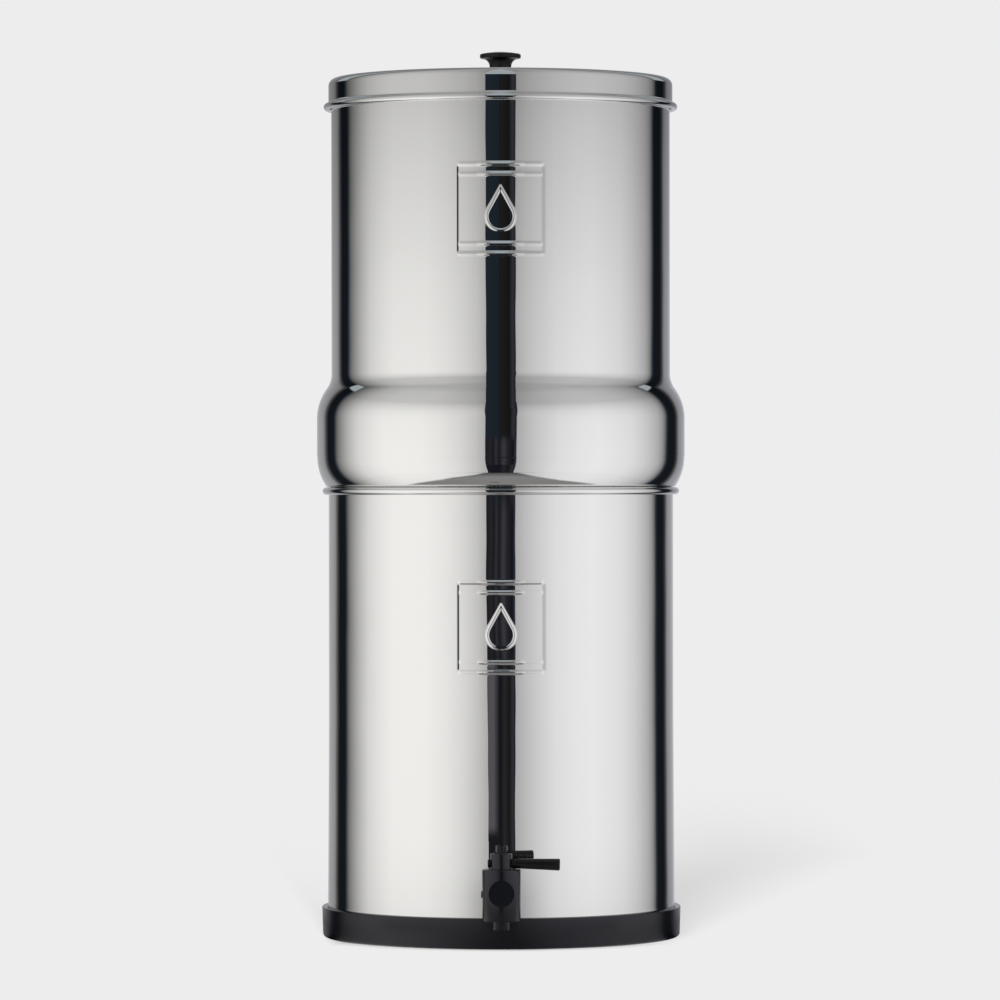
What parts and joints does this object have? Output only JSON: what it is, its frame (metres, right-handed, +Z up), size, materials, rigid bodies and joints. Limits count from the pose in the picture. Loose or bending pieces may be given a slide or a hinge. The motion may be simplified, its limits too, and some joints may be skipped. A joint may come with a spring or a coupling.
{
  "type": "gravity water filter",
  "caption": "Gravity water filter: stacked polished steel chambers with a bulged upper section, lifting lid with knob, filter candles inside, black base ring and quarter-turn lever tap.",
  "frame": {"origin": "on the chambers' axis, at the bottom face of the base ring", "axes": "+Z up along the chambers' axis, the tap points to -Y, the closed lever points to +X"},
  "size_m": [0.2204, 0.2652, 0.5297],
  "materials": {
    "polished_steel": "mirror-polished stainless steel",
    "black_plastic": "matt moulded black",
    "tap_plastic": "satin moulded black",
    "knob_plastic": "soft gloss moulded black",
    "white_plastic": "satin moulded white",
    "ceramic": "unglazed porous ceramic",
    "carbon": "pressed carbon",
    "seal_rubber": "black rubber",
    "washer_rubber": "red-brown rubber",
    "screw_steel": "plated steel"
  },
  "bodies": {
    "stand": {"base_ring": "black_plastic", "lower_chamber": "polished_steel", "tap_outer_washer": "seal_rubber", "tap_body": "tap_plastic", "tap_gland_ring": "tap_plastic", "tap_inner_washer": "seal_rubber", "tap_nut": "tap_plastic"},
    "tap_valve": {"tap_plug": "tap_plastic", "tap_seals": "seal_rubber", "tap_lever": "knob_plastic"},
    "upper": {"upper_chamber": "polished_steel", "candle_shell_left": "ceramic", "candle_shell_right": "ceramic", "candle_core_left": "carbon", "candle_core_right": "carbon", "candle_base_left": "white_plastic", "candle_base_right": "white_plastic", "candle_washer_left": "washer_rubber", "candle_washer_right": "washer_rubber", "wing_nut_left": "white_plastic", "wing_nut_right": "white_plastic", "blank_plug_front": "white_plastic", "blank_plug_rear": "white_plastic", "blank_washer_front": "washer_rubber", "blank_washer_rear": "washer_rubber", "blank_nut_front": "white_plastic", "blank_nut_rear": "white_plastic"},
    "cover": {"lid": "polished_steel", "lid_washer": "seal_rubber", "lid_knob": "knob_plastic", "lid_screw": "screw_steel"}
  },
  "joints": [
    {"name": "tap_turn", "type": "hinge", "parent": "stand", "child": "tap_valve", "pos_m": [0, -0.1432, 0.0348], "axis": [0, 0, 1], "range_deg": [-90, 0]},
    {"name": "upper_lift", "type": "slide", "parent": "stand", "child": "upper", "axis": [0, 0, 1], "range_m": [0, 0.08]},
    {"name": "lid_lift", "type": "slide", "parent": "upper", "child": "cover", "axis": [0, 0, 1], "range_m": [0, 0.06]}
  ]
}
